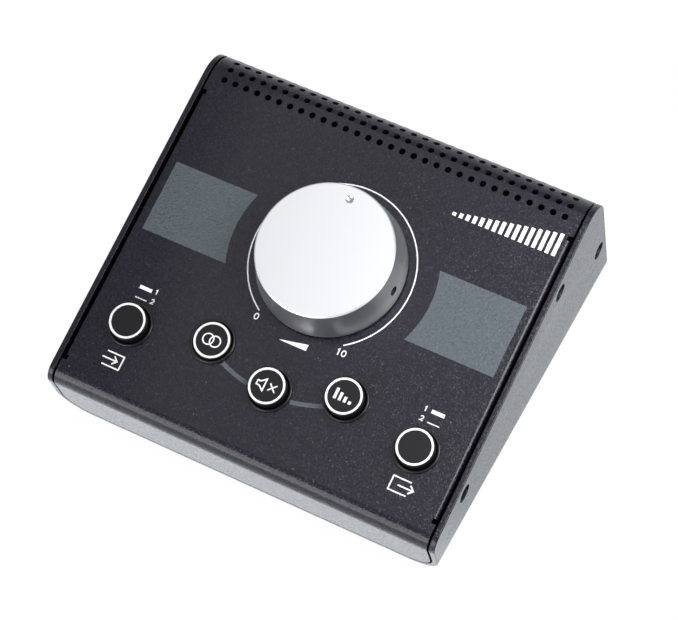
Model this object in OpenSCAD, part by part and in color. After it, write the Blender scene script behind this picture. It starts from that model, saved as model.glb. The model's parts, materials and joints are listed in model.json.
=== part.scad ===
// Desktop controller for studio monitors: a sloped steel case with one large
// volume knob, five push switches and a row of jacks in its rear wall.
// Millimetres. +X right, +Y back, +Z up. The origin is the centre of the
// footprint, at the height of the surface that the feet stand on.

/* [Case] */
// Width across the outside of the two side walls
body_w = 193; // [180:0.5:220]
// Slope of the top panel in degrees
slope = 17.5; // [14:0.5:20]
// Lean of the front and rear walls from upright, in degrees
wall_lean = 13.5; // [10:0.5:17]
// Length of the top panel, from the face of the front wall to that of the rear wall
panel_len = 174.1; // [165:0.1:185]
// Height of the front wall, measured along it
front_h = 37.2; // [34:0.1:44]
// Outer radius of the bend from the front wall to the top panel
front_bend_r = 7; // [5:0.5:9]
// Outer radius of the bend from the top panel to the rear wall
rear_bend_r = 15; // [13:0.5:17]
// Outer radius of the bends between the bottom and the side walls
floor_bend_r = 16; // [12:0.5:18]
// Thickness of the base tray's sheet
tray_t = 2.8; // [2:0.1:3]
// Thickness of the top cover's sheet
cover_t = 1.2; // [1:0.1:1.5]
// Distance from the end of the rear bend down to the joint between the cover and the rear wall
wall_joint = 2.5; // [2:0.1:4]

/* [Cover] */
// Gap between the ends of the cover and the side walls
end_gap = 0.9; // [0.4:0.1:1.2]
// Gap between the cover's side flanges and the side walls
flange_gap = 1.3; // [1:0.1:1.6]
// Outer radius of the side flanges' bends
flange_bend_r = 1.8; // [1.5:0.1:2.2]
// Depth of the side flanges below the panel
flange_h = 17; // [14:0.5:20]
// Place of the flanges' front ends, measured up the slope from the knob's axis
flange_front = -85; // [-87:0.1:-80]
// Place of the flanges' rear ends, measured up the slope from the knob's axis
flange_rear = 50.7; // [45:0.1:54]
// Width of the relief notch at each end of a flange
notch_w = 2.3; // [1.2:0.1:3]
// Diameter of a vent hole
vent_d = 3; // [2.4:0.1:3.4]
// Distance between vent holes across the case
vent_pitch = 5.7; // [5.2:0.05:6]
// Number of vent columns
vent_columns = 31; // [25:2:31]
// Number of vent rows over the rear bend
vent_rows = 5; // [3:1:5]

/* [Knob] */
// Distance from the front wall's face to the knob's axis, up the slope
knob_from_front = 97.7; // [90:0.1:105]
// Diameter of the knob's flat top
knob_top_d = 62.6; // [56:0.1:66]
// Diameter of the knob's lower edge
knob_base_d = 68.6; // [60:0.1:72]
// Height of the knob's top over the panel
knob_top_h = 20.2; // [18:0.1:24]
// Gap between the knob and the panel
knob_gap = 1.5; // [1:0.1:2]
// Distance from the knob's axis to the pointer dimple
dimple_r = 25.1; // [20:0.1:27]
// Diameter of the potentiometer's shaft
shaft_d = 6; // [6:0.1:6.4]

/* [Buttons] */
// Outer diameter of the bezel ring round a button
bezel_d = 20.8; // [20:0.1:22]
// Diameter of a button cap
cap_d = 17.4; // [16.5:0.1:17.6]
// Height of a released cap's top over the panel
cap_up = 6.2; // [5.5:0.1:6.6]
// Height of a latched cap's top over the panel
cap_latched = 2.4; // [2:0.1:3]
// Distance from the knob's axis to the three middle buttons
middle_r = 62.8; // [60:0.1:66]
// Angle between neighbours among the three middle buttons, in degrees
middle_step = 31.9; // [29:0.1:34]
// Distance of the two outer buttons from the centre line
outer_u = 71.2; // [66:0.1:74]
// Distance of the two outer buttons below the knob's axis, down the slope
outer_v = 61.2; // [56:0.1:64]

/* [Jacks] */
// Inner diameter of a quarter-inch jack's barrel
jack_bore_d = 6.5; // [6.4:0.05:6.6]
// Diameter of its threaded bushing
jack_bushing_d = 11; // [10:0.1:12]
// Inner diameter of the small jack's barrel
mini_bore_d = 3.6; // [3.55:0.01:3.7]
// Height of the jacks over the underside of the case
jack_h = 34; // [30:0.5:40]
// Distance between the two jacks of a pair
jack_pitch = 20; // [18:0.5:21]
// Distance from the centre line to the middle of the inner pairs
inner_pair = 25; // [22:0.5:27]
// Distance from the centre line to the middle of the outer pairs
outer_pair = 68; // [64:0.5:70]

/* [Feet] */
// Height of the rubber feet
foot_h = 3; // [2:0.5:5]
// Diameter of the rubber feet
foot_d = 16; // [12:0.5:20]

/* [Hidden] */
$fn = 64;
slop = 0.05;    // free play of a part in its hole, on the radius
over = 1;       // how far a cutting shape runs past a face
proud = 0.003;  // bends stand out by this, so that they cut the flat faces in one clean line

// Outline of the case seen from its side, as [y, z] from the sharp front top corner.
function toward(a) = [cos(a), sin(a)];
function crossing(p, a, q, b) =
    p + toward(a) * (((q - p)[0] * sin(b) - (q - p)[1] * cos(b)) / sin(b - a));
wall_a = 90 + wall_lean;
corner_front_top = [0, 0];
corner_front_low = -front_h * toward(wall_a);
corner_rear_top = panel_len * toward(slope);
corner_rear_low = crossing(corner_rear_top, wall_a, corner_front_low, 0);
// Centres of the two bends
front_bend = crossing(front_bend_r * toward(wall_lean), wall_a,
                      front_bend_r * toward(slope - 90), slope);
rear_bend = crossing(corner_rear_top - rear_bend_r * toward(wall_lean), wall_a,
                     corner_rear_top + rear_bend_r * toward(slope - 90), slope);

// From the outline's own origin to the row's origin
shift_y = -(front_bend[0] - front_bend_r + corner_rear_low[0]) / 2;
shift_z = foot_h - corner_front_low[1];

half_w = body_w / 2;
inner_w = half_w - tray_t;
cover_w = inner_w - end_gap;
flange_w = inner_w - flange_gap;
vent_angle = 23.05;

// Button places as [across, up the slope] from the knob's axis, and cap heights
source_at = [-outer_u, -outer_v];
monitor_at = [outer_u, -outer_v];
mono_at = middle_r * toward(-90 - middle_step);
mute_at = middle_r * toward(-90);
dim_at = middle_r * toward(-90 + middle_step);
buttons_at = [source_at, mono_at, mute_at, dim_at, monitor_at];

bezel_h = 1.2;
bezel_bore_d = 18.2;
bezel_sleeve_d = 19.4;
bezel_depth = 4.5;
cap_len = 9.5;
cap_chamfer = 0.4;
ring_r = 8.3;
ring_w = 1;
ring_depth = 0.4;
plunger_d = 4;
plunger_in_cap = 3;         // from the cap's top to the plunger's top
plunger_low = -16.2;        // from the cap's top to the plunger's foot
switch_w = 9;
switch_h = 7;
switch_play = 0.3;

board_n = -15;              // height of the control board's top face over the panel
board_t = 1.6;
board_half_w = 84;
board_front = -80;
board_rear = 24;
standoff_places = [for (s = [-1, 1], p = [[79, -24], [79, 14], [20, -75]]) [s * p[0], p[1]]];

pot_d = 24;
pot_h = 20;
bushing_d = 9;
bushing_top = 5;
washer_t = 0.8;
nut_t = 2.2;
shaft_top = 16;
shaft_low = -9;
hub_low = 5.6;
nut_recess_d = 26;
grub_h = 8.2;
grub_angle = -4;
grub_d = 3;
grub_bore_d = 4.6;          // wide outer part of the grub screw's hole
grub_bore_from = 13.5;

// Side screws as [up the slope, over the panel] from the knob's axis
screws_at = [[-68.5, -8.6], [29.9, -8.6], [65.2, -46.6]];
screw_d = 4;
screw_hole_r = 2.2;
sink_r = 4.4;
sink_step = 1.1;            // straight mouth of the hole, above the screw's head
head_r = 3.7;

jack_body = [15, 13, 33];
jack_reach = 6;             // how far a bushing stands out of the rear wall
jack_bore_l = 33;
mini_body = [9, 9, 14];
mini_reach = 3.6;
mini_bore_l = 15;
mini_bushing_d = 6;
jack_nut_af = 14;
jack_board_drop = jack_body[1] / 2;
jack_board_l = 52;
// Jack places across the case
output_1_left_x = -outer_pair - jack_pitch / 2;
output_1_right_x = output_1_left_x + jack_pitch;
output_2_left_x = -inner_pair - jack_pitch / 2;
output_2_right_x = output_2_left_x + jack_pitch;
input_2_left_x = -output_2_right_x;
input_2_right_x = -output_2_left_x;
input_1_left_x = -output_1_right_x;
input_1_right_x = -output_1_left_x;
jacks_x = [output_1_left_x, output_1_right_x, output_2_left_x, output_2_right_x,
           input_2_left_x, input_2_right_x, input_1_left_x, input_1_right_x];

sheet_black = [0.13, 0.13, 0.15];
plastic_black = [0.06, 0.06, 0.07];
rubber_black = [0.09, 0.09, 0.09];
knob_silver = [0.86, 0.87, 0.88];
ring_white = [0.96, 0.96, 0.95];
steel = [0.6, 0.61, 0.63];
brass = [0.75, 0.62, 0.33];
board_green = [0.08, 0.33, 0.19];
ribbon_grey = [0.62, 0.63, 0.66];

// Frames ---------------------------------------------------------------------

// Outline coordinates to the row's frame
module in_case() translate([0, shift_y, shift_z]) children();

// x across, y up the slope, z out of the panel, from the knob's axis at the panel
module on_panel() {
    axis = knob_from_front * toward(slope);
    in_case() translate([0, axis[0], axis[1]]) rotate([slope, 0, 0]) children();
}

// x to the left seen from the front, y up the rear wall, z out of it, at the jacks' height
module on_rear() {
    foot = corner_rear_low + jack_h / cos(wall_lean) * toward(wall_a);
    in_case() translate([0, foot[0], foot[1]])
        rotate([wall_lean - 90, 0, 0]) rotate([0, 0, 180]) children();
}

// A flat [y, z] shape made into a bar across the case
module across(half) {
    rotate([90, 0, 90]) translate([0, 0, -half]) linear_extrude(2 * half) children();
}

// Solid in the outline of the case's side, drawn in by inset, its bottom lowered by drop
module wedge(half, inset = 0, drop = 0) {
    front_r = front_bend_r - inset;
    rear_r = rear_bend_r - inset;
    low = corner_front_low - [0, drop];
    across(half) polygon([
        crossing(inset * toward(wall_lean), wall_a, low, 0),
        front_bend - front_r * toward(wall_lean), front_bend + front_r * toward(slope + 90),
        rear_bend + rear_r * toward(slope + 90), rear_bend + rear_r * toward(wall_lean),
        crossing(corner_rear_top - inset * toward(wall_lean), wall_a, low, 0)
    ]);
    across(half) translate(front_bend) circle(front_r + proud);
    across(half) translate(rear_bend) circle(rear_r + proud);
}

// A flat [x, z] shape made into a bar from front to back, past both walls
module lengthwise() {
    past = 20;
    rear = corner_rear_low[0] + past;
    translate([0, rear, 0]) rotate([90, 0, 0]) linear_extrude(rear + past) children();
}

// Solid as wide as two side walls stand apart, with a flat floor and rounded lower corners
module tub(half, r, low) {
    top = corner_rear_top[1] + over;
    lengthwise() polygon([
        [-half, low + r], [-half + r, low], [half - r, low], [half, low + r], [half, top], [-half, top]
    ]);
    for (s = [-1, 1]) lengthwise() translate([s * (half - r), low + r]) circle(r + proud);
}

// Case -----------------------------------------------------------------------

module base_tray() color(sheet_black) {
    low = corner_front_low[1];
    difference() {
        in_case() intersection() {
            wedge(half_w);
            tub(half_w, floor_bend_r, low);
        }
        in_case() tub(inner_w, floor_bend_r - tray_t, low + tray_t);
        for (s = [-1, 1], p = screws_at) at_screw(s, p) screw_sink();
    }
}

// Place of a side screw, its z pointing out of the side wall
module at_screw(s, p) {
    on_panel() translate([s * half_w, p[0], p[1]]) rotate([0, s * 90, 0]) children();
}

module screw_sink() {
    translate([0, 0, -tray_t - over]) cylinder(r = screw_hole_r, h = tray_t + 2 * over);
    translate([0, 0, screw_hole_r - head_r - sink_step])
        cylinder(r1 = screw_hole_r, r2 = head_r, h = head_r - screw_hole_r);
    translate([0, 0, -sink_step]) cylinder(r = sink_r, h = sink_step + over);
}

// Whole sheet of the cover, from the front wall over the panel down to the foot of the rear wall
module cover_sheet() {
    cover_low = corner_front_low[1] + tray_t + end_gap / 2;
    in_case() difference() {
        intersection() {
            wedge(cover_w);
            tub(cover_w, floor_bend_r - tray_t - end_gap, cover_low);
        }
        wedge(cover_w + over, cover_t, over);
    }
}

// Space of the flat rear wall under the rear bend
module rear_zone() {
    reach = corner_rear_top[1] - corner_rear_low[1];
    in_case() translate([0, rear_bend[0], rear_bend[1]]) rotate([wall_lean, 0, 0])
        translate([-half_w, rear_bend_r - cover_t - over, -reach])
            cube([body_w, cover_t + 2 * over, reach - wall_joint]);
}

// Front wall, panel and rear bend in one sheet, with the panel's edges turned down
module top_cover() color(sheet_black) {
    difference() {
        union() {
            difference() {
                cover_sheet();
                rear_zone();
                on_panel() for (s = [-1, 1]) flange_notch(s);
            }
            on_panel() for (s = [-1, 1]) side_flange(s);
        }
        for (s = [-1, 1], p = screws_at) at_screw(s, p) flange_hole();
        on_panel() panel_holes();
        vents();
    }
}

// Flat sheet that carries the jacks, with an ear at each end
module rear_wall() color(sheet_black) {
    difference() {
        union() {
            intersection() {
                cover_sheet();
                rear_zone();
            }
            for (s = [-1, 1]) rear_tab(s);
        }
        for (s = [-1, 1], p = screws_at) at_screw(s, p) flange_hole();
        on_rear() rear_holes();
    }
}

module flange_notch(s) {
    from = flange_w - flange_bend_r;
    len = flange_rear - flange_front + 2 * notch_w;
    translate([s > 0 ? from : -from - 10, flange_front - notch_w, -cover_t - over])
        cube([10, len, cover_t + 2 * over]);
}

// Edge of the panel turned down by a round bend
module side_flange(s) {
    r = flange_bend_r;
    len = flange_rear - flange_front;
    mirror([s > 0 ? 0 : 1, 0, 0]) translate([0, flange_rear, 0]) rotate([90, 0, 0]) linear_extrude(len) {
        translate([flange_w - r, -r]) intersection() {
            difference() {
                circle(r);
                circle(r - cover_t);
            }
            square(r);
        }
        translate([flange_w - cover_t, -flange_h]) square([cover_t, flange_h - r]);
    }
}

// Distance from the rear screws to the outside of the rear wall, square to the wall
function rear_screw_gap() =
    (panel_len - knob_from_front - screws_at[2][0]) * cos(slope - wall_lean)
    + screws_at[2][1] * sin(slope - wall_lean);

// Ear of the rear wall, turned in along the side wall
module rear_tab(s) {
    tab_h = 20;
    past_screw = 7.5;
    len = past_screw + rear_screw_gap() - cover_t / 2;
    on_panel() translate([s > 0 ? flange_w - cover_t : -flange_w, screws_at[2][0], screws_at[2][1]])
        rotate([wall_lean - slope, 0, 0]) translate([0, -past_screw, -tab_h / 2]) cube([cover_t, len, tab_h]);
}

module flange_hole() {
    translate([0, 0, -half_w + flange_w - cover_t - over])
        cylinder(d = screw_d + 2 * slop, h = cover_t + 2 * over);
}

module panel_holes() {
    translate([0, 0, -cover_t - over]) {
        cylinder(d = bushing_d + 4 * slop, h = cover_t + 2 * over);
        for (p = buttons_at) translate([p[0], p[1], 0])
            cylinder(d = bezel_sleeve_d + 4 * slop, h = cover_t + 2 * over);
    }
}

module rear_holes() {
    translate([0, 0, -cover_t - over]) {
        for (x = jacks_x) translate([-x, 0, 0])
            cylinder(d = jack_bushing_d + 4 * slop, h = cover_t + 2 * over);
        cylinder(d = mini_bushing_d + 4 * slop, h = cover_t + 2 * over);
    }
}

// Square grid of round holes that runs over the rear bend
module vents() {
    in_case() translate([0, rear_bend[0], rear_bend[1]])
        for (row = [0 : vent_rows - 1], column = [0 : vent_columns - 1])
            translate([(column - (vent_columns - 1) / 2) * vent_pitch, 0, 0])
                rotate([slope - row * vent_angle, 0, 0])
                    translate([0, 0, rear_bend_r - cover_t - over])
                        cylinder(d = vent_d, h = cover_t + 2 * over, $fn = 24);
}

// Countersunk screws, three to a side
module side_screws() color(steel) {
    for (s = [-1, 1], p = screws_at) at_screw(s, p) difference() {
        union() {
            translate([0, 0, screw_d / 2 - head_r - sink_step])
                cylinder(r1 = screw_d / 2, r2 = head_r, h = head_r - screw_d / 2);
            translate([0, 0, -9]) cylinder(d = screw_d, h = 9 - sink_step - head_r + screw_d / 2);
        }
        translate([0, 0, -sink_step - 1.3]) cylinder(d = 2.9, h = 3, $fn = 6);
    }
}

module foot(x, y) color(rubber_black) {
    translate([x, y, 0]) difference() {
        union() {
            cylinder(d1 = foot_d - 2, d2 = foot_d, h = foot_h / 2);
            translate([0, 0, foot_h / 2]) cylinder(d = foot_d, h = foot_h / 2);
        }
        translate([0, 0, -over]) cylinder(d = 5, h = over + 0.8);
    }
}

foot_x = half_w - 27;
foot_front_y = corner_front_low[0] + shift_y + 17;
foot_rear_y = corner_rear_low[0] + shift_y - 17;
module foot_front_left() foot(-foot_x, foot_front_y);
module foot_front_right() foot(foot_x, foot_front_y);
module foot_rear_left() foot(-foot_x, foot_rear_y);
module foot_rear_right() foot(foot_x, foot_rear_y);

// Knob and potentiometer -----------------------------------------------------

// Solid turned knob: tapered side, bevelled rim, a recess for the nut underneath
module volume_knob() color(knob_silver) {
    bevel = 0.6;
    on_panel() difference() {
        rotate_extrude($fn = 96) difference() {
            polygon([
                [0, knob_gap], [knob_base_d / 2, knob_gap],
                [knob_top_d / 2, knob_top_h - bevel], [knob_top_d / 2 - bevel, knob_top_h], [0, knob_top_h]
            ]);
            translate([-over, knob_gap - over]) square([nut_recess_d / 2 + over, hub_low - knob_gap + over]);
        }
        cylinder(d = shaft_d, h = shaft_top);
        translate([0, dimple_r, knob_top_h + 1.6]) sphere(r = 2.5);
        translate([0, 0, grub_h]) rotate([0, 90, grub_angle]) {
            cylinder(d = grub_d + 2 * slop, h = knob_base_d);
            translate([0, 0, grub_bore_from]) cylinder(d = grub_bore_d, h = knob_base_d);
        }
    }
}

module knob_grub_screw() color(steel) {
    len = 8;
    on_panel() rotate([0, 0, grub_angle]) translate([shaft_d / 2, 0, grub_h]) rotate([0, 90, 0])
        difference() {
            cylinder(d = grub_d, h = len);
            translate([0, 0, len - 1.6]) cylinder(d = 1.7, h = 3, $fn = 6);
        }
}

module pot_shaft() color(brass) {
    on_panel() translate([0, 0, shaft_low]) cylinder(d = shaft_d, h = shaft_top - shaft_low);
}

module pot_bushing() color(brass) {
    on_panel() difference() {
        translate([0, 0, -cover_t]) cylinder(d = bushing_d, h = bushing_top + cover_t);
        translate([0, 0, -cover_t - over]) cylinder(d = shaft_d + 2 * slop, h = bushing_top + cover_t + 2 * over);
    }
}

module pot_body() color(steel) {
    on_panel() translate([0, 0, -cover_t]) difference() {
        union() {
            translate([0, 0, -pot_h]) cylinder(d = pot_d, h = pot_h);
            translate([-8, -pot_d / 2 - 5, -pot_h + 2]) cube([16, 8, pot_h - 6]);
        }
        translate([0, 0, shaft_low]) cylinder(d = shaft_d + 1, h = over - shaft_low);
    }
}

module pot_washer() color(steel) {
    on_panel() difference() {
        cylinder(d = 16, h = washer_t);
        translate([0, 0, -over]) cylinder(d = bushing_d + 2 * slop, h = washer_t + 2 * over);
    }
}

module pot_nut() color(brass) {
    on_panel() translate([0, 0, washer_t]) difference() {
        cylinder(d = 12 / cos(30), h = nut_t, $fn = 6);
        translate([0, 0, -over]) cylinder(d = bushing_d + 2 * slop, h = nut_t + 2 * over);
    }
}

// Boards ---------------------------------------------------------------------

module control_board() color(board_green) {
    on_panel() difference() {
        translate([-board_half_w, board_front, board_n - board_t])
            cube([2 * board_half_w, board_rear - board_front, board_t]);
        translate([0, 0, board_n - board_t - over]) {
            cylinder(d = pot_d + 2, h = board_t + 2 * over);
            translate([-9, -pot_d / 2 - 6, 0]) cube([18, 10, board_t + 2 * over]);
            for (p = standoff_places) translate([p[0], p[1], 0]) cylinder(d = 3.2, h = board_t + 2 * over);
        }
    }
}

module board_standoffs() color(steel) {
    h = -board_n - cover_t;
    on_panel() for (p = standoff_places) translate([p[0], p[1], board_n]) difference() {
        cylinder(d = 5.5 / cos(30), h = h, $fn = 6);
        translate([0, 0, -over]) cylinder(d = 3.1, h = h - 3 + over);
    }
}

module board_screws() color(steel) {
    on_panel() for (p = standoff_places) translate([p[0], p[1], board_n - board_t]) {
        translate([0, 0, -2]) cylinder(d = 5.6, h = 2);
        cylinder(d = 2.9, h = 8);
    }
}

// Carries the jacks, square to the rear wall
module jack_board() color(board_green) {
    on_rear() translate([-board_half_w, -jack_board_drop - board_t, -cover_t - 1 - jack_board_l])
        cube([2 * board_half_w, board_t, jack_board_l]);
}

// Resistors and film capacitors of the attenuator
module board_components() color([0.75, 0.68, 0.5]) {
    on_panel() for (s = [-1, 1], i = [0 : 4]) {
        translate([s * (30 + 6 * i), -2, board_n + 1.2]) rotate([90, 0, 0]) cylinder(d = 2.4, h = 7);
        translate([s * (32 + 8 * i) - 3, 8, board_n]) cube([6, 3, 6]);
    }
    on_rear() for (s = [-1, 1], i = [0 : 4])
        translate([s * (35 + 9 * i) - 3.5, -jack_board_drop, -cover_t - 1 - jack_board_l + 3]) cube([7, 6, 4]);
}

header = [34, 9, 7];
header_at_v = board_rear - 8.5;

module ribbon_headers() color(plastic_black) {
    on_panel() translate([-header[0] / 2, header_at_v, board_n - board_t - header[1]])
        cube([header[0], header[2], header[1]]);
    on_rear() translate([-header[0] / 2, -jack_board_drop, -cover_t - 1 - jack_board_l + 3])
        cube([header[0], header[1], header[2]]);
}

// Flat cable that hangs in one bend from header to header
function bezier(p, t) =
    pow(1 - t, 3) * p[0] + 3 * pow(1 - t, 2) * t * p[1] + 3 * (1 - t) * t * t * p[2] + pow(t, 3) * p[3];
function bezier_way(p, t) =
    let (d = pow(1 - t, 2) * (p[1] - p[0]) + 2 * (1 - t) * t * (p[2] - p[1]) + t * t * (p[3] - p[2]))
    d / norm(d);
module ribbon_cable() color(ribbon_grey) {
    half_t = 0.5;
    steps = 16;
    axis = knob_from_front * toward(slope);
    start = axis + (header_at_v + header[2] / 2) * toward(slope)
        + (board_n - board_t - header[1]) * toward(slope + 90);
    wall = corner_rear_low + jack_h / cos(wall_lean) * toward(wall_a);
    end = wall + (header[1] - jack_board_drop) * toward(wall_a)
        - (cover_t + 1 + jack_board_l - 3 - header[2] / 2) * toward(wall_lean);
    route = [start, start + 9 * toward(slope - 90), end + 14 * toward(wall_a), end];
    side = [for (i = [0 : steps]) let (t = i / steps, w = bezier_way(route, t)) half_t * [-w[1], w[0]]];
    centre = [for (i = [0 : steps]) bezier(route, i / steps)];
    in_case() across(header[0] / 2 - 2) polygon(concat(
        [for (i = [0 : steps]) centre[i] + side[i]],
        [for (i = [steps : -1 : 0]) centre[i] - side[i]]
    ));
}

// Buttons --------------------------------------------------------------------

module at_button(p, h = 0) on_panel() translate([p[0], p[1], h]) children();

// Ring with a rounded lip on the panel and a sleeve down through it
module bezel(p) color(plastic_black) {
    lip_w = (bezel_d - bezel_bore_d) / 2;
    lip_r = 0.5;
    at_button(p) rotate_extrude() {
        translate([bezel_bore_d / 2, 0]) square([lip_w, bezel_h - lip_r]);
        translate([bezel_bore_d / 2 + lip_r, 0]) square([lip_w - 2 * lip_r, bezel_h]);
        for (x = [lip_r, lip_w - lip_r]) translate([bezel_bore_d / 2 + x, bezel_h - lip_r]) circle(lip_r);
        translate([bezel_bore_d / 2, -bezel_depth])
            square([(bezel_sleeve_d - bezel_bore_d) / 2, bezel_depth]);
    }
}

module cap(p, top) color(plastic_black) {
    at_button(p, top) rotate_extrude() difference() {
        polygon([
            [0, 0], [cap_d / 2 - cap_chamfer, 0], [cap_d / 2, -cap_chamfer], [cap_d / 2, -cap_len],
            [cap_d / 2 - 1.4, -cap_len], [cap_d / 2 - 1.4, -2.2], [plunger_d / 2 + 1.6, -2.2],
            [plunger_d / 2 + 1.6, -cap_len], [plunger_d / 2 + slop, -cap_len],
            [plunger_d / 2 + slop, -plunger_in_cap], [0, -plunger_in_cap]
        ]);
        translate([ring_r - ring_w, -ring_depth]) square([ring_w, 2 * ring_depth]);
    }
}

// White band let into the cap's top
module light_ring(p, top) color(ring_white) {
    at_button(p, top) rotate_extrude() translate([ring_r - ring_w, -ring_depth]) square([ring_w, ring_depth]);
}

module plunger(p, top) color(ring_white) {
    at_button(p, top) translate([0, 0, plunger_low]) cylinder(d = plunger_d, h = -plunger_low - plunger_in_cap);
}

module push_switch(p) color(steel) {
    at_button(p, board_n) difference() {
        translate([-switch_w / 2, -switch_w / 2, 0]) cube([switch_w, switch_w, switch_h]);
        translate([0, 0, 0.4]) cylinder(d = plunger_d + 2 * switch_play, h = switch_h);
    }
}

module source_bezel() bezel(source_at);
module mono_bezel() bezel(mono_at);
module mute_bezel() bezel(mute_at);
module dim_bezel() bezel(dim_at);
module monitor_bezel() bezel(monitor_at);
module source_cap() cap(source_at, cap_up);
module mono_cap() cap(mono_at, cap_latched);
module mute_cap() cap(mute_at, cap_up);
module dim_cap() cap(dim_at, cap_up);
module monitor_cap() cap(monitor_at, cap_up);
module source_ring() light_ring(source_at, cap_up);
module mono_ring() light_ring(mono_at, cap_latched);
module mute_ring() light_ring(mute_at, cap_up);
module dim_ring() light_ring(dim_at, cap_up);
module monitor_ring() light_ring(monitor_at, cap_up);
module source_plunger() plunger(source_at, cap_up);
module mono_plunger() plunger(mono_at, cap_latched);
module mute_plunger() plunger(mute_at, cap_up);
module dim_plunger() plunger(dim_at, cap_up);
module monitor_plunger() plunger(monitor_at, cap_up);
module source_switch() push_switch(source_at);
module mono_switch() push_switch(mono_at);
module mute_switch() push_switch(mute_at);
module dim_switch() push_switch(dim_at);
module monitor_switch() push_switch(monitor_at);

// Jacks ----------------------------------------------------------------------

// Moulded body behind the wall, threaded bushing through it, barrel for the plug
module jack(x) color(plastic_black) {
    on_rear() translate([-x, 0, 0]) difference() {
        union() {
            translate([-jack_body[0] / 2, -jack_body[1] / 2, -cover_t - jack_body[2]]) cube(jack_body);
            translate([0, 0, -cover_t - over]) cylinder(d = jack_bushing_d, h = jack_reach + cover_t + over);
        }
        translate([0, 0, jack_reach - jack_bore_l]) cylinder(d = jack_bore_d, h = jack_bore_l + over);
    }
}

module input_1_left_jack() jack(input_1_left_x);
module input_1_right_jack() jack(input_1_right_x);
module input_2_left_jack() jack(input_2_left_x);
module input_2_right_jack() jack(input_2_right_x);
module output_1_left_jack() jack(output_1_left_x);
module output_1_right_jack() jack(output_1_right_x);
module output_2_left_jack() jack(output_2_left_x);
module output_2_right_jack() jack(output_2_right_x);

module jack_washers() color(steel) {
    on_rear() for (x = jacks_x) translate([-x, 0, 0]) difference() {
        cylinder(d = 17, h = 0.6);
        translate([0, 0, -over]) cylinder(d = jack_bushing_d + 4 * slop, h = 0.6 + 2 * over);
    }
}

module jack_nuts() color(steel) {
    on_rear() for (x = jacks_x) translate([-x, 0, 0.6]) difference() {
        cylinder(d = jack_nut_af / cos(30), h = 2.4, $fn = 6);
        translate([0, 0, -over]) cylinder(d = jack_bushing_d + 2 * slop, h = 2.4 + 2 * over);
    }
}

module mini_jack() color(plastic_black) {
    on_rear() difference() {
        union() {
            translate([-mini_body[0] / 2, -mini_body[1] / 2, -cover_t - mini_body[2]]) cube(mini_body);
            translate([0, 0, -cover_t - over]) cylinder(d = mini_bushing_d, h = mini_reach + cover_t + over);
        }
        translate([0, 0, mini_reach - mini_bore_l]) cylinder(d = mini_bore_d, h = mini_bore_l + over);
    }
}

module mini_jack_nut() color(steel) {
    on_rear() difference() {
        cylinder(d = 9, h = 2);
        translate([0, 0, -over]) cylinder(d = mini_bushing_d + 2 * slop, h = 2 + 2 * over);
        for (a = [0, 180]) rotate([0, 0, a]) translate([mini_bushing_d / 2 - 0.2, -0.5, 1.2]) cube([3, 1, 2]);
    }
}

base_tray();
top_cover();
rear_wall();
side_screws();
foot_front_left();
foot_front_right();
foot_rear_left();
foot_rear_right();
volume_knob();
knob_grub_screw();
pot_shaft();
pot_bushing();
pot_body();
pot_washer();
pot_nut();
control_board();
board_standoffs();
board_screws();
jack_board();
board_components();
ribbon_headers();
ribbon_cable();
source_bezel();
mono_bezel();
mute_bezel();
dim_bezel();
monitor_bezel();
source_cap();
mono_cap();
mute_cap();
dim_cap();
monitor_cap();
source_ring();
mono_ring();
mute_ring();
dim_ring();
monitor_ring();
source_plunger();
mono_plunger();
mute_plunger();
dim_plunger();
monitor_plunger();
source_switch();
mono_switch();
mute_switch();
dim_switch();
monitor_switch();
input_1_left_jack();
input_1_right_jack();
input_2_left_jack();
input_2_right_jack();
output_1_left_jack();
output_1_right_jack();
output_2_left_jack();
output_2_right_jack();
jack_washers();
jack_nuts();
mini_jack();
mini_jack_nut();
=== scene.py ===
import json
import math

import bmesh
import bpy
import numpy as np
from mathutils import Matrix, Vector


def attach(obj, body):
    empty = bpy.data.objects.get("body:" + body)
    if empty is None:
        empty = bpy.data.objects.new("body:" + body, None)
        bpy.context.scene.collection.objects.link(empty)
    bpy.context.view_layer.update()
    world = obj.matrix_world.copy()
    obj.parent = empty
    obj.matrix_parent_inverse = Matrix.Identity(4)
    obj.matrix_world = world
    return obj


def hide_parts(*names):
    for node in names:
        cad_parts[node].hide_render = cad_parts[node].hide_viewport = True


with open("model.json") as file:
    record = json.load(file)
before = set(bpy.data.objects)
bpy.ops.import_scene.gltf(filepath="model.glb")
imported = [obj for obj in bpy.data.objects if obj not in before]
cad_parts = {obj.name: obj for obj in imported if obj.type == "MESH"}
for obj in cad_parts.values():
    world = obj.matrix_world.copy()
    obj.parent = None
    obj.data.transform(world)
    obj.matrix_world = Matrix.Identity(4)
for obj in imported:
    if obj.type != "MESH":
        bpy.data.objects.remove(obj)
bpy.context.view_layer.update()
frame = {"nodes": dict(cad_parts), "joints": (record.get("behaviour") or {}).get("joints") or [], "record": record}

cad = frame["nodes"]
mm = 0.001
print("frame loaded,", len(cad), "CAD nodes")


# places and meshes
# The panel has its own axes: across, up its slope and out of it. They start at the knob's axis, in millimetres.
volumeTurn = next(joint for joint in frame["joints"] if joint["name"] == "volume_turn")
panelZero = np.array(volumeTurn["pos_m"])
panelOut = np.array(volumeTurn["axis"])
panelUp = np.array([0, panelOut[2], -panelOut[1]])


def onPanel(across, up, out):
    # across, up and out may be numbers or arrays: the result has one more axis, x y z in metres
    across, up, out = np.broadcast_arrays(across, up, out)
    step = across[..., None] * np.array([1, 0, 0]) + up[..., None] * panelUp + out[..., None] * panelOut
    return panelZero + mm * step


def polar(radius, degrees):
    # radius times the cosine and sine of the angle
    return radius * np.cos(np.radians(degrees)), radius * np.sin(np.radians(degrees))


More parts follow.
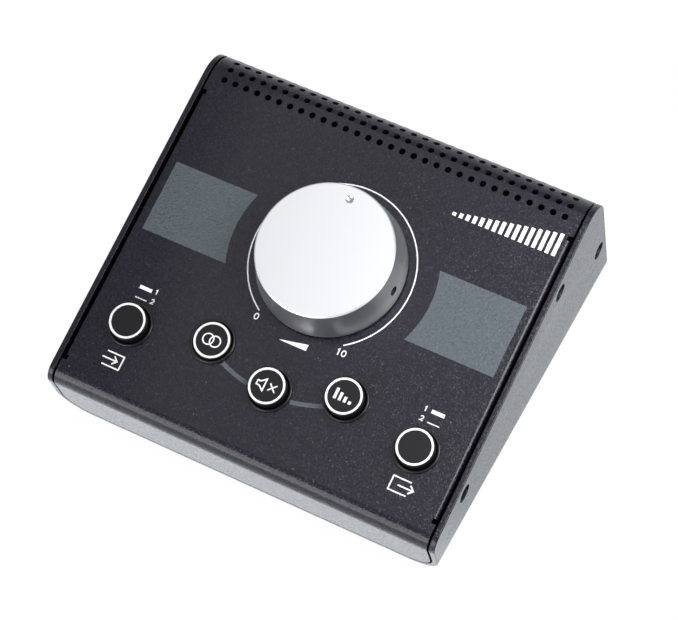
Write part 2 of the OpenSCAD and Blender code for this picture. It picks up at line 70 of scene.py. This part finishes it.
def turnOutwards(mesh):
    # the faces of every closed shell in the mesh look to its outside, whichever way round its path was drawn
    shape = bmesh.new()
    shape.from_mesh(mesh)
    bmesh.ops.recalc_face_normals(shape, faces=shape.faces)
    shape.to_mesh(mesh)
    shape.free()


def makePiece(name, corners, faces, material, body, smooth=False):
    mesh = bpy.data.meshes.new(name)
    mesh.from_pydata(corners.tolist(), [], faces)
    turnOutwards(mesh)
    mesh.polygons.foreach_set("use_smooth", [smooth] * len(mesh.polygons))
    mesh.materials.append(material)
    piece = bpy.data.objects.new(name, mesh)
    bpy.context.scene.collection.objects.link(piece)
    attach(piece, body)
    return piece


def tubeFaces(rings, around, closed, first=0):
    # quads between neighbouring rings of a tube, with a lid on each end or a joint from the last ring to the first
    ring = np.arange(rings if closed else rings - 1)[:, None]
    spot = np.arange(around)[None, :]
    here, there = ring * around, (ring + 1) % rings * around
    nextSpot = (spot + 1) % around
    quads = np.stack([here + spot, here + nextSpot, there + nextSpot, there + spot], -1).reshape(-1, 4) + first
    faces = quads.tolist()
    if not closed:
        faces.append((np.arange(around)[::-1] + first).tolist())
        faces.append((np.arange(around) + (rings - 1) * around + first).tolist())
    return faces


# printing
ink = dict(sunk=0.01, proud=0.03)  # how deep in and how far out of its ground a print reaches, mm


def stripSolid(left, right, ground):
    # a strip between two curves of (across, up) points, as rings of four corners: its section is a thin rectangle
    low, high = ground - ink["sunk"], ground + ink["proud"]
    section = [onPanel(curve[:, 0], curve[:, 1], out) for curve, out in
               ((left, low), (right, low), (right, high), (left, high))]
    return np.stack(section, 1).reshape(-1, 3), len(left)


def strokeEdges(path, width, closed):
    # both edges of a line of even width: the path moved sideways, further where it turns, so corners stay sharp
    ahead = np.roll(path, -1, 0) - path
    ahead /= np.maximum(np.linalg.norm(ahead, axis=1, keepdims=True), 1e-9)
    behind = np.roll(ahead, 1, 0)
    if not closed:
        ahead[-1], behind[0] = behind[-1], ahead[0]
    way = ahead + behind
    way /= np.linalg.norm(way, axis=1, keepdims=True)
    side = np.stack([-way[:, 1], way[:, 0]], 1)
    reach = width / 2 / np.maximum((way * ahead).sum(1, keepdims=True), 0.4)
    return path + side * reach, path - side * reach


def printPiece(name, strips, material, ground=0.0, body="case"):
    # strips: (left curve, right curve, closed), each a solid of its own in one piece
    corners, faces, first = [], [], 0
    for left, right, closed in strips:
        solid, rings = stripSolid(np.asarray(left, float), np.asarray(right, float), ground)
        corners.append(solid)
        faces += tubeFaces(rings, 4, closed, first)
        first += len(solid)
    return makePiece(name, np.concatenate(corners), faces, material, body)


def lineStrip(path, width, closed=False):
    # a printed line of even width along a path
    path = np.asarray(path, float)
    return (*strokeEdges(path, width, closed), closed)


def barStrip(centre, size):
    # an upright bar: its upper and its lower edge
    x, y = centre
    w, h = size[0] / 2, size[1] / 2
    return ([(x - w, y + h), (x + w, y + h)], [(x - w, y - h), (x + w, y - h)], False)


def arcPath(radius, fromDegrees, toDegrees, centre=(0, 0), steps=64):
    # points on a circle, evenly spaced between two angles
    x, y = polar(radius, np.linspace(fromDegrees, toDegrees, steps))
    return np.stack([x + centre[0], y + centre[1]], 1)


def ringStrip(centre, radius, width, steps=48):
    # a full circle as a closed line, without its first point twice
    path = arcPath(radius, 0, 360 * (1 - 1 / steps), centre, steps)
    return lineStrip(path, width, True)


def digitPaths(digit):
    # strokes of a plain round numeral in a box one unit high, centred on x = 0
    if digit == "0":
        turn = np.linspace(0, 2 * np.pi, 33)[:-1]
        return [(np.stack([0.3 * np.cos(turn), 0.5 + 0.43 * np.sin(turn)], 1), True)]
    if digit == "1":
        return [(np.array([(-0.16, 0.72), (0.06, 0.93), (0.06, 0.0)]), False)]
    bow = arcPath(0.27, 165, -35, (0, 0.66), 16)
    return [(np.concatenate([bow, [(-0.3, 0.07), (0.32, 0.07)]]), False)]


digitPitch = 0.86  # from one numeral to the next, as a share of their height


def numeral(text, centre, height, width):
    # numerals side by side about the centre
    pitch, strips = digitPitch * height, []
    for place, digit in enumerate(text):
        shift = np.array([centre[0] + (place - (len(text) - 1) / 2) * pitch, centre[1] - height / 2])
        strips += [lineStrip(path * height + shift, width, closed) for path, closed in digitPaths(digit)]
    return strips


# materials
def linear(hexColour):
    # an sRGB hex colour as the linear colour that a shader takes
    share = np.array([int(hexColour[i:i + 2], 16) / 255 for i in (0, 2, 4)])
    value = np.where(share <= 0.04045, share / 12.92, ((share + 0.055) / 1.055) ** 2.4)
    return (*value.tolist(), 1)


def addNode(tree, kind, links=None, inputs=None, **settings):
    # one node with its settings, its plain inputs, and links from other nodes' outputs
    made = tree.nodes.new("ShaderNode" + kind)
    for name, value in settings.items():
        setattr(made, name, value)
    for name, value in (inputs or {}).items():
        made.inputs[name].default_value = value
    for name, source in (links or {}).items():
        tree.links.new(source, made.inputs[name])
    return made


def newMaterial(name, **inputs):
    # a material with a Principled shader, its tree, and the piece's own coordinates in metres
    material = bpy.data.materials.new(name)
    material.use_nodes = True
    tree = material.node_tree
    shader = tree.nodes["Principled BSDF"]
    for socket, value in inputs.items():
        shader.inputs[socket.replace("_", " ")].default_value = value
    place = addNode(tree, "TexCoord").outputs["Object"]
    return material, tree, shader, place


def perMetre(size):
    # noise scale whose features are about this many millimetres
    return 1000 / size


# grit and flake are the sizes of a pebble and of a glinting face, gritDepth is the pebbles' height, all in mm; two
# keys set how far the colour darkens in the pebbles' hollows (painted shade) and lightens on their tops (painted
# highlight), and the last two how far it lightens on a few single faces (painted glint)
powder = dict(colour="151321", roughness=0.24, ior=1.30, skin=1.0, skinRoughness=0.12, skinIor=1.29,
              grit=0.95, gritDepth=0.3, paintedHollowShade=0.6, paintedPeakLight=1.4, flake=0.65, flakeTilt=0.34, sparkFrom=0.8,
              sparkTilt=0.9, paintedGlintChance=0.98, paintedGlintGain=1.5)


def powderFinish(name, colour, roughness, depth, paintedLightShare=1.0):
    # fine textured powder coat on steel: a soft broad sheen over a pebbled skin, with painted shade in its hollows
    # and a painted highlight on its tops;
    # single small faces glint by their tilt and by a painted glint in their colour; the pebbles are drawn about
    # twice as coarse as real ones, so that they show
    material, tree, shader, place = newMaterial(
        name, Roughness=roughness, IOR=powder["ior"],
        Coat_Weight=powder["skin"], Coat_Roughness=powder["skinRoughness"], Coat_IOR=powder["skinIor"])
    pebbles = addNode(tree, "TexNoise", {"Vector": place},
                      {"Scale": perMetre(powder["grit"]), "Detail": 2.0, "Roughness": 0.6}).outputs["Fac"]
    bump = addNode(tree, "Bump", {"Height": pebbles}, {"Strength": 1.0, "Distance": depth * mm})
    cell = addNode(tree, "TexVoronoi", {"Vector": place}, {"Scale": perMetre(powder["flake"])})
    chance = addNode(tree, "TexWhiteNoise", {"Vector": cell.outputs["Position"]}).outputs["Value"]
    # painted shade and painted highlight: the colour is darker in the pebbles' hollows and lighter on their tops
    paintedPebbleTone = addNode(tree, "MapRange", {"Value": pebbles},
                     {"From Min": 0.3, "From Max": 0.7, "To Min": 1 - paintedLightShare * (1 - powder["paintedHollowShade"]),
                      "To Max": 1 + paintedLightShare * (powder["paintedPeakLight"] - 1)}).outputs[0]
    # painted glint: the colour of a few single faces is made lighter
    paintedGlintTone = addNode(tree, "MapRange", {"Value": chance},
                     {"From Min": powder["paintedGlintChance"], "From Max": 1.0,
                      "To Min": 1.0, "To Max": 1 + paintedLightShare * (powder["paintedGlintGain"] - 1)}).outputs[0]
    shade = addNode(tree, "Math", {0: paintedPebbleTone, 1: paintedGlintTone}, operation="MULTIPLY").outputs[0]
    tint = addNode(tree, "VectorMath", {"Scale": shade}, {0: linear(colour)[:3]}, operation="SCALE").outputs[0]
    tree.links.new(tint, shader.inputs["Base Color"])
    tilt = addNode(tree, "MapRange", {"Value": chance},
                   {"From Min": powder["sparkFrom"], "From Max": 1.0,
                    "To Min": powder["flakeTilt"], "To Max": powder["sparkTilt"]}).outputs[0]
    centred = addNode(tree, "VectorMath", {0: cell.outputs["Color"]}, {1: (0.5, 0.5, 0.5)},
                      operation="SUBTRACT").outputs[0]
    lean = addNode(tree, "VectorMath", {0: centred, "Scale": tilt}, operation="SCALE").outputs[0]
    tipped = addNode(tree, "VectorMath", {0: bump.outputs[0], 1: lean}, operation="ADD").outputs[0]
    normal = addNode(tree, "VectorMath", {0: tipped}, operation="NORMALIZE").outputs[0]
    tree.links.new(normal, shader.inputs["Normal"])
    return material


# the grey ink carries the coat's painted shade, painted highlight and painted glints at about a third of their
# strength, the white ink at a tenth
inks = dict(grey=dict(colour="535c62", roughness=0.32, depth=powder["gritDepth"] * 3, paintedLightShare=0.35),
            white=dict(colour="fbfcfd", roughness=0.6, depth=powder["gritDepth"] * 0.4, paintedLightShare=0.1))
blackPowder = powderFinish("black_powder_coat", powder["colour"], powder["roughness"], powder["gritDepth"])
greyInk = powderFinish("grey_ink_on_powder_coat", **inks["grey"])  # the pebbles show through it
whiteInk = powderFinish("white_screen_ink", **inks["white"])  # thick and dull, it fills the pebbles

knobFinish = dict(colour="eff1f3", roughness=0.39, grain=0.25, grainDepth=0.004, paintedSideShade=0.7)


def satinAluminium():
    # turned aluminium, bead blasted and clear anodised: an even silver with a soft edge to every reflection;
    # its side gets painted shade, a colour a step darker than the top's
    material, tree, shader, place = newMaterial("blasted_aluminium", Metallic=1.0, Roughness=knobFinish["roughness"])
    facing = addNode(tree, "VectorMath", {0: addNode(tree, "TexCoord").outputs["Normal"]}, {1: panelOut.tolist()},
                     operation="DOT_PRODUCT").outputs["Value"]
    # painted shade: the colour darkens from the top down the side, by how far the surface turns from the panel's out
    # axis
    sideShade = addNode(tree, "MapRange", {"Value": facing},
                   {"From Min": 0.4, "From Max": 0.9, "To Min": knobFinish["paintedSideShade"], "To Max": 1.0}).outputs[0]
    tint = addNode(tree, "VectorMath", {"Scale": sideShade}, {0: linear(knobFinish["colour"])[:3]},
                   operation="SCALE").outputs[0]
    tree.links.new(tint, shader.inputs["Base Color"])
    grain = addNode(tree, "TexNoise", {"Vector": place},
                    {"Scale": perMetre(knobFinish["grain"]), "Detail": 1.0}).outputs["Fac"]
    bump = addNode(tree, "Bump", {"Height": grain}, {"Strength": 1.0, "Distance": knobFinish["grainDepth"] * mm})
    tree.links.new(bump.outputs[0], shader.inputs["Normal"])
    return material


def mouldedPlastic(name, colour, roughness, grain=0.6, depth=0.002, ior=1.53):
    # injection-moulded ABS: a smooth skin whose gloss wavers a little with the mould's polish
    material, tree, shader, place = newMaterial(name, Base_Color=linear(colour), Roughness=roughness, IOR=ior)
    cloud = addNode(tree, "TexNoise", {"Vector": place}, {"Scale": perMetre(grain), "Detail": 3.0}).outputs["Fac"]
    gloss = addNode(tree, "MapRange", {"Value": cloud},
                    {"To Min": roughness * 0.85, "To Max": roughness * 1.15}).outputs[0]
    bump = addNode(tree, "Bump", {"Height": cloud}, {"Strength": 1.0, "Distance": depth * mm})
    tree.links.new(gloss, shader.inputs["Roughness"])
    tree.links.new(bump.outputs[0], shader.inputs["Normal"])
    return material


def bareMetal(name, colour, roughness, scratch=0.15, depth=0.003, rim=1.0):
    # plated or turned metal: the tool's fine marks scatter the light a little; rim is its brightness seen edge on
    material, tree, shader, place = newMaterial(name, Base_Color=linear(colour), Metallic=1.0, Roughness=roughness,
                                                Specular_Tint=(rim, rim, rim, 1))
    marks = addNode(tree, "TexNoise", {"Vector": place}, {"Scale": perMetre(scratch), "Detail": 2.0}).outputs["Fac"]
    worn = addNode(tree, "MapRange", {"Value": marks},
                   {"To Min": roughness * 0.7, "To Max": roughness * 1.3}).outputs[0]
    bump = addNode(tree, "Bump", {"Height": marks}, {"Strength": 1.0, "Distance": depth * mm})
    tree.links.new(worn, shader.inputs["Roughness"])
    tree.links.new(bump.outputs[0], shader.inputs["Normal"])
    return material


capPlastic = mouldedPlastic("black_abs_cap", "0a090e", 0.42, ior=1.4)  # satin, so it mirrors nothing sharply
bezelPlastic = mouldedPlastic("black_abs_bezel", "09090b", 0.28, ior=1.48)  # glossier, with a lit rim
whitePlastic = mouldedPlastic("white_light_ring", "f2f3f2", 0.45)  # the same white from all sides
jackNylon = mouldedPlastic("black_nylon_jack", "121213", 0.5, 0.8, 0.006)  # dull and a little cloudy
footRubber = mouldedPlastic("black_rubber_foot", "141414", 0.75, 0.7, 0.02)  # matt
boardMask = mouldedPlastic("green_solder_mask", "0d3b22", 0.35, 2.0, 0.01)  # lacquer gloss over green
partBody = mouldedPlastic("tan_film_component", "8c7348", 0.45, 1.0, 0.005)  # dipped in resin
ribbonVinyl = mouldedPlastic("grey_ribbon_vinyl", "8f9093", 0.5, 1.2, 0.01)  # soft and waxy
innerWallShade = mouldedPlastic("inner_wall_painted_shade", "050506", 0.95, 0.8, 0.02, ior=1.1)  # inside the tray: near-black matt, painted shade on the side walls' inner faces
blackOxide = bareMetal("black_oxide_screw", "0b0b0d", 0.3, rim=0.06)  # blued steel, near black; its reflection seen edge on is turned down to near black too, painted shade of the screw holes
nickel = bareMetal("nickel_plate", "c9c8c4", 0.25)  # warm grey mirror
brass = bareMetal("turned_brass", "c8a25c", 0.28)  # yellow, with the lathe's marks
boreShadeMetal = bareMetal("drilled_aluminium_painted_shade", "2c2d2f", 0.5, rim=0.4)  # darkened grey, with a dim reflection seen edge on: painted shade inside the hole
dimpleMetal = bareMetal("drill_polished_aluminium_painted_shade", "d3d6da", 0.15, 0.3, 0.002)  # polished by the drill's point; its colour, a step darker than the knob's top, is painted shade in the dimple
aluminium = satinAluminium()

bySlot = dict(powder_coat=blackPowder, satin_aluminium=aluminium, cap_plastic=capPlastic,
              bezel_plastic=bezelPlastic, white_plastic=whitePlastic, rubber=footRubber, black_screw=blackOxide,
              plated_steel=nickel, brass=brass, jack_plastic=jackNylon, circuit_board=boardMask,
              component_body=partBody, ribbon=ribbonVinyl)
for part in frame["record"]["subparts"]:
    for place in cad[part["node"]].material_slots:
        place.material = bySlot[part["material_slot"]]
print("materials made,", len(bpy.data.materials))

# sheet metal edges
# width of the round in mm; the screws' (up, out) places in the side walls, round which edges stay as they are
trayEdge = dict(width=0.45, segments=3, sharp=35, screws=((-68.5, -8.6), (29.9, -8.6), (65.2, -46.6)), clear=5.5)


def sharpAwayFrom(mesh, spots, clear):
    # which edges are sharp and further than clear from every (up, out) spot, seen along the panel's across axis
    corners, ends = np.empty(len(mesh.vertices) * 3), np.empty(len(mesh.edges) * 2, int)
    sharp = np.empty(len(mesh.edges), bool)
    mesh.vertices.foreach_get("co", corners)
    mesh.edges.foreach_get("vertices", ends)
    mesh.edges.foreach_get("use_edge_sharp", sharp)
    middle = (corners.reshape(-1, 3)[ends.reshape(-1, 2)].mean(1) - panelZero) / mm
    here = np.stack([middle @ panelUp, middle @ panelOut], 1)
    gap = np.linalg.norm(here[:, None] - np.array(spots)[None], axis=2).min(1)
    return sharp & (gap > clear)


def facesInward(mesh):
    # which faces of the side walls look into the case: their normal points back to the middle plane x = 0
    centres, normals = np.empty(len(mesh.polygons) * 3), np.empty(len(mesh.polygons) * 3)
    mesh.polygons.foreach_get("center", centres)
    mesh.polygons.foreach_get("normal", normals)
    return np.sign(centres[::3]) * normals[::3] < -0.5


def roundedCopy(node, edge):
    # a merged copy of a CAD node: its long sharp edges get the small round that a deburred sheet has
    mesh = cad[node].data.copy()
    shape = bmesh.new()
    shape.from_mesh(mesh)
    bmesh.ops.remove_doubles(shape, verts=shape.verts, dist=1e-6)
    bmesh.ops.dissolve_limit(shape, angle_limit=math.radians(0.3), verts=shape.verts, edges=shape.edges)
    shape.to_mesh(mesh)
    shape.free()
    mesh.polygons.foreach_set("use_smooth", [True] * len(mesh.polygons))
    mesh.set_sharp_from_angle(angle=math.radians(edge["sharp"]))
    # the faces that look into the case get a near-black matt material: painted shade
    mesh.materials.append(innerWallShade)
    mesh.polygons.foreach_set("material_index", facesInward(mesh).astype(np.int32))
    weight = mesh.attributes.new("bevel_weight_edge", "FLOAT", "EDGE")
    weight.data.foreach_set("value", sharpAwayFrom(mesh, edge["screws"], edge["clear"]).astype(np.float32))
    piece = bpy.data.objects.new(node + "_rounded", mesh)
    bpy.context.scene.collection.objects.link(piece)
    bevel = piece.modifiers.new("deburred", "BEVEL")
    bevel.limit_method, bevel.width, bevel.segments = "WEIGHT", edge["width"] * mm, edge["segments"]
    bevel.use_clamp_overlap = False
    flat = piece.modifiers.new("flat_faces", "WEIGHTED_NORMAL")  # wide faces stay flat up to their rounds
    flat.mode, flat.keep_sharp, flat.weight = "FACE_AREA", True, 100
    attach(piece, "case")
    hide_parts(node)
    return piece


roundedCopy("base_tray", trayEdge)
print("sheet edges rounded")

# the hole of the knob's grub screw
bore = dict(height=8.2, angle=-4, start=25.0, end=33.0, lean=0.1485, outer=2.29, root=2.24, crest=2.1,
            pitch=0.5, stepsPerPitch=4, around=32)


def drilledBore():
    # a tube along a spoke of the knob: its inner radius runs up and down between root and crest once a pitch,
    # and its outer end is cut on the lean of the knob's side
    steps = int((bore["end"] - bore["start"]) / bore["pitch"] * bore["stepsPerPitch"])
    along = np.linspace(bore["start"], bore["end"], steps + 1)
    wave = np.abs(2 * (along / bore["pitch"] % 1) - 1)
    inner = bore["crest"] + (bore["root"] - bore["crest"]) * wave
    along = np.concatenate([along, along[::-1]])
    radius = np.concatenate([inner, np.full(steps + 1, bore["outer"])])
    turn = np.linspace(0, 360, bore["around"], endpoint=False)
    side, out = polar(radius[:, None], turn[None, :])
    share = (along - bore["start"]) / (bore["end"] - bore["start"])
    along = along[:, None] - bore["lean"] * out * share[:, None]
    spoke, cross = polar(1, bore["angle"])
    corners = onPanel(along * spoke - side * cross, along * cross + side * spoke, out + bore["height"])
    faces = tubeFaces(len(radius), bore["around"], True)
    makePiece("grub_bore_wall", corners.reshape(-1, 3), faces, boreShadeMetal, "knob")


drilledBore()

# the pointer dimple on the knob's top
dimple = dict(up=25.1, centre=21.8, skin=2.47, root=2.53, pole=0.5, rim=49.4, rings=12, around=40)


def dimpleFace():
    # a thin dish: two caps of spheres round one centre above the dimple, joined at the rim
    tilt = np.linspace(dimple["pole"], dimple["rim"], dimple["rings"])
    tilt = np.concatenate([tilt, tilt[::-1]])
    sphere = np.repeat([dimple["root"], dimple["skin"]], dimple["rings"])
    down, away = polar(sphere, tilt)
    across, up = polar(away[:, None], np.linspace(0, 360, dimple["around"], endpoint=False)[None, :])
    corners = onPanel(across, up + dimple["up"], dimple["centre"] - down[:, None])
    faces = tubeFaces(len(tilt), dimple["around"], False)
    makePiece("dimple_face", corners.reshape(-1, 3), faces, dimpleMetal, "knob", smooth=True)


dimpleFace()

# printing on the panel
dial = dict(radius=38.1, width=0.6, start=237.4, end=-56.3, low=(-20.5, -35.0), high=(21.7, -35.0),
            digit=3.1, line=0.52)
dialPath = arcPath(dial["radius"], dial["start"], dial["end"], steps=160)
printPiece("dial_arc", [lineStrip(dialPath, dial["width"])], whiteInk)
printPiece("dial_numbers", numeral("0", dial["low"], dial["digit"], dial["line"])
           + numeral("10", dial["high"], dial["digit"], dial["line"]), whiteInk)

link = dict(radius=65.1, width=2.0, spans=((-112.4, -99.3), (-80.4, -66.7)))
printPiece("button_link", [lineStrip(arcPath(link["radius"], *span), link["width"]) for span in link["spans"]],
           greyInk)

patch = dict(edge=87.6, low=-18.6, high=16.2, radius=48.3)


def patchStrip(side):
    # from the straight outer edge to an arc round the knob
    up = np.linspace(patch["low"], patch["high"], 40)
    inner = np.sqrt(patch["radius"] ** 2 - up ** 2)
    return np.stack([side * inner, up], 1), np.stack([np.full_like(up, side * patch["edge"]), up], 1), False


for side, word in ((-1, "left"), (1, "right")):
    printPiece("grey_patch_" + word, [patchStrip(side)], greyInk)

choice = dict(barSize=(6.2, 1.7), lineSize=(5.8, 0.5), digitHeight=2.4, digitWidth=0.46)
choiceMarks = dict(source=dict(bar=(-72.6, -43.5), line=(-72.6, -48.6), one=(-67.3, -43.0), two=(-67.05, -47.7)),
                   monitor=dict(bar=(72.8, -42.9), line=(72.8, -48.1), one=(66.8, -42.8), two=(67.1, -47.3)))
for word, marks in choiceMarks.items():
    strips = [barStrip(marks["bar"], choice["barSize"]), barStrip(marks["line"], choice["lineSize"])]
    strips += numeral("1", marks["one"], choice["digitHeight"], choice["digitWidth"])
    strips += numeral("2", marks["two"], choice["digitHeight"], choice["digitWidth"])
    printPiece(word + "_marks", strips, whiteInk)

# plain signs: a growing wedge for loudness, a box with an arrow into or out of it, and bars of growing height
signs = dict(line=0.65, wedge=(0.5, -39.1), wedgeSize=(13.0, 3.0), wedgeTip=0.25, box=(8.6, 6.4),
             head=((-2.0, 1.9), (0.1, 0), (-2.0, -1.9)), shaft=7.4, source=(-70.9, -79.0), monitor=(71.3, -78.2))


def wedgeStrip(centre, size):
    # flat below, and above a straight line that climbs from the tip to the full height
    x, y = centre
    w, h = size[0] / 2, size[1] / 2
    return [(x - w, y - h + signs["wedgeTip"]), (x + w, y + h)], [(x - w, y - h), (x + w, y - h)], False


def boxSign(centre, opening, arrow):
    # a three-sided box, open towards opening (-1 left, 1 right), and an arrow that points right through it
    w, h = signs["box"][0] / 2, signs["box"][1] / 2
    spot = np.array(centre)
    box = np.array([(opening * w, h), (-opening * w, h), (-opening * w, -h), (opening * w, -h)]) + spot
    tip = spot + (arrow, 0)
    head = tip + np.array(signs["head"])
    shaft = np.array([tip - (signs["shaft"], 0), tip])
    return [lineStrip(path, signs["line"]) for path in (box, head, shaft)]


printPiece("volume_wedge", [wedgeStrip(signs["wedge"], signs["wedgeSize"])], whiteInk)
printPiece("source_sign", boxSign(signs["source"], -1, 2.0), whiteInk)
printPiece("monitor_sign", boxSign(signs["monitor"], 1, 6.4), whiteInk)

meter = dict(first=40.0, last=88.0, count=16, wide=1.8, low=41.8, short=1.6, tall=11.0)
meterAcross = np.linspace(meter["first"], meter["last"], meter["count"])
meterTall = np.linspace(meter["short"], meter["tall"], meter["count"])
printPiece("level_bars", [barStrip((across, meter["low"] + tall / 2), (meter["wide"], tall))
                          for across, tall in zip(meterAcross, meterTall)], whiteInk)

# the signs on three caps: two rings for mono, a crossed-out loudspeaker for mute, and falling bars for dim
caps = dict(mono=(-33.2, -53.4, 2.4), mute=(0.0, -62.8, 6.2), dim=(33.2, -53.4, 6.2), line=0.62,
            ring=2.5, ringShift=1.7, barWide=1.3, barPitch=2.4, barFoot=(-3.6, -2.5), bars=(5.0, 3.8, 2.6, 1.4),
            horn=((-4.7, 1.0), (-3.2, 1.0), (-1.0, 2.8), (-1.0, -2.8), (-3.2, -1.0), (-4.7, -1.0)),
            cross=((1.1, 1.7), (4.5, -1.7)))


def capSign(word):
    # printed on the cap's top, so it moves with the button
    x, y, top = caps[word]
    if word == "mono":
        strips = [ringStrip((x + way * caps["ringShift"], y), caps["ring"], caps["line"]) for way in (-1, 1)]
    elif word == "mute":
        horn = np.array(caps["horn"]) + (x, y)
        cross = [np.array(caps["cross"]) * (1, way) + (x, y) for way in (-1, 1)]
        strips = [lineStrip(horn, caps["line"], True)] + [lineStrip(path, caps["line"]) for path in cross]
    else:
        left, foot = x + caps["barFoot"][0], y + caps["barFoot"][1]
        strips = [barStrip((left + caps["barPitch"] * place, foot + tall / 2), (caps["barWide"], tall))
                  for place, tall in enumerate(caps["bars"])]
    printPiece(word + "_sign", strips, whiteInk, ground=top, body=word + "_button")


for word in ("mono", "mute", "dim"):
    capSign(word)
print("panel printed")

# surroundings
# what the camera sees of the floor is white; what gloss sees of it is brighter in front of the case than beside it:
# a painted pool of light in front and a painted shadow of the case beside it
floor = dict(half=4.0, glow=1.03, seen=0.95, frontPaintedLight=1.24, sidePaintedShadow=0.76, fadeFrom=-0.1, fadeTo=-0.04,
             tint="f4f9fe")
light = dict(fill=0.12, horizon=0.75, zenith=0.35, horizonUpTo=0.2, zenithFrom=0.6)


def backdrop():
    # a wide pale floor under the feet
    side = np.linspace(-1, 1, 3) * floor["half"]
    x, y = np.meshgrid(side, side)
    corners = np.stack([x, y, np.zeros_like(x)], -1).reshape(-1, 3)
    row = np.arange(2)[:, None] * 3 + np.arange(2)[None, :]
    faces = np.stack([row, row + 1, row + 4, row + 3], -1).reshape(-1, 4).tolist()
    mesh = bpy.data.meshes.new("floor")
    mesh.from_pydata(corners.tolist(), [], faces)
    piece = bpy.data.objects.new("floor", mesh)
    bpy.context.scene.collection.objects.link(piece)
    material, tree, shader, place = newMaterial("pale_floor", Base_Color=linear("f4f4f4"), Roughness=0.9)
    ray = addNode(tree, "LightPath")
    white = addNode(tree, "Emission", inputs={"Color": (1, 1, 1, 1), "Strength": floor["glow"]}).outputs[0]
    # painted light and painted shadow on the floor, seen only in reflections: brighter in front of the case, dimmer
    # beside and behind it
    away = addNode(tree, "SeparateXYZ", {0: place}).outputs["Y"]
    level = addNode(tree, "MapRange", {"Value": away},
                    {"From Min": floor["fadeFrom"], "From Max": floor["fadeTo"], "To Min": floor["frontPaintedLight"],
                     "To Max": floor["sidePaintedShadow"]}, interpolation_type="SMOOTHSTEP").outputs[0]
    sheen = addNode(tree, "Emission", {"Strength": level}, {"Color": linear(floor["tint"])}).outputs[0]
    mirrored = addNode(tree, "MixShader", {"Fac": ray.outputs["Is Glossy Ray"], 1: shader.outputs[0],
                                           2: sheen}).outputs[0]
    seenShare = addNode(tree, "Math", {0: ray.outputs["Is Camera Ray"]}, {1: floor["seen"]},
                        operation="MULTIPLY").outputs[0]
    seen = addNode(tree, "MixShader", {"Fac": seenShare, 1: mirrored, 2: white}).outputs[0]
    tree.links.new(seen, tree.nodes["Material Output"].inputs["Surface"])
    mesh.materials.append(material)


def surroundings():
    # soft light from all round; the camera sees white, and gloss sees a room, pale at eye level and dim overhead
    world = bpy.data.worlds.new("studio")
    bpy.context.scene.world = world
    world.use_nodes = True
    tree = world.node_tree
    ray = addNode(tree, "LightPath")
    soft = tree.nodes["Background"]
    soft.inputs["Strength"].default_value = light["fill"]
    soft.inputs["Color"].default_value = (1, 1, 1, 1)
    height = addNode(tree, "SeparateXYZ", {0: addNode(tree, "TexCoord").outputs["Generated"]}).outputs["Z"]
    level = addNode(tree, "MapRange", {"Value": height},
                    {"From Min": light["horizonUpTo"], "From Max": light["zenithFrom"], "To Min": light["horizon"],
                     "To Max": light["zenith"]}, interpolation_type="SMOOTHSTEP").outputs[0]
    room = addNode(tree, "Background", {"Strength": level}, {"Color": (1, 1, 1, 1)}).outputs[0]
    white = addNode(tree, "Background", inputs={"Color": (1, 1, 1, 1), "Strength": 1.0}).outputs[0]
    gloss = addNode(tree, "MixShader", {"Fac": ray.outputs["Is Glossy Ray"], 1: soft.outputs[0], 2: room}).outputs[0]
    seen = addNode(tree, "MixShader", {"Fac": ray.outputs["Is Camera Ray"], 1: gloss, 2: white}).outputs[0]
    tree.links.new(seen, tree.nodes["World Output"].inputs["Surface"])


# the wide overhead lamp lights the panel; the small glint lamp brings out the coat's grain at the right
lamps = dict(
    overhead=dict(place=(0.11, 0.1, 0.9), target=(0.11, 0.1, 0), size=(0.96, 1.0), level=0.9),
    right=dict(place=(0.23, -0.02, 0.3), target=(0.05, 0, 0.07), size=(0.2, 0.2), level=8.4),
    glint=dict(place=(0.22, -0.02, 0.55), target=(0.07, 0, 0.07), size=(0.1, 0.1), level=4.5),
    front=dict(place=(-0.35, -1.15, 0.42), target=(0, -0.05, 0.05), size=(0.9, 0.8), level=4.4),
)


def softLamp(name, place, target, size, level):
    # level is the brightness of the lamp's face, where 1 is white
    data = bpy.data.lights.new(name, "AREA")
    data.shape, data.size, data.size_y = "RECTANGLE", *size
    data.energy = level * math.pi * size[0] * size[1]
    lamp = bpy.data.objects.new(name, data)
    lamp.location = place
    lamp.rotation_mode = "QUATERNION"
    lamp.rotation_quaternion = (Vector(target) - Vector(place)).to_track_quat("-Z", "Y")
    lamp.visible_camera = False
    bpy.context.scene.collection.objects.link(lamp)


backdrop()
surroundings()
for name, lamp in lamps.items():
    softLamp(name, **lamp)

camera = dict(place=(0.294926, -0.515729, 0.928160), turn=(33.46864, 1.27277, 27.67779), lens=125.301)
shot = bpy.data.cameras.new("camera")
shot.lens, shot.sensor_width, shot.clip_end = camera["lens"], 36, 20
eye = bpy.data.objects.new("camera", shot)
eye.location = camera["place"]
eye.rotation_euler = [math.radians(degrees) for degrees in camera["turn"]]
bpy.context.scene.collection.objects.link(eye)
bpy.context.scene.camera = eye
bpy.context.scene.view_settings.view_transform = "Standard"
print("lights and camera set")
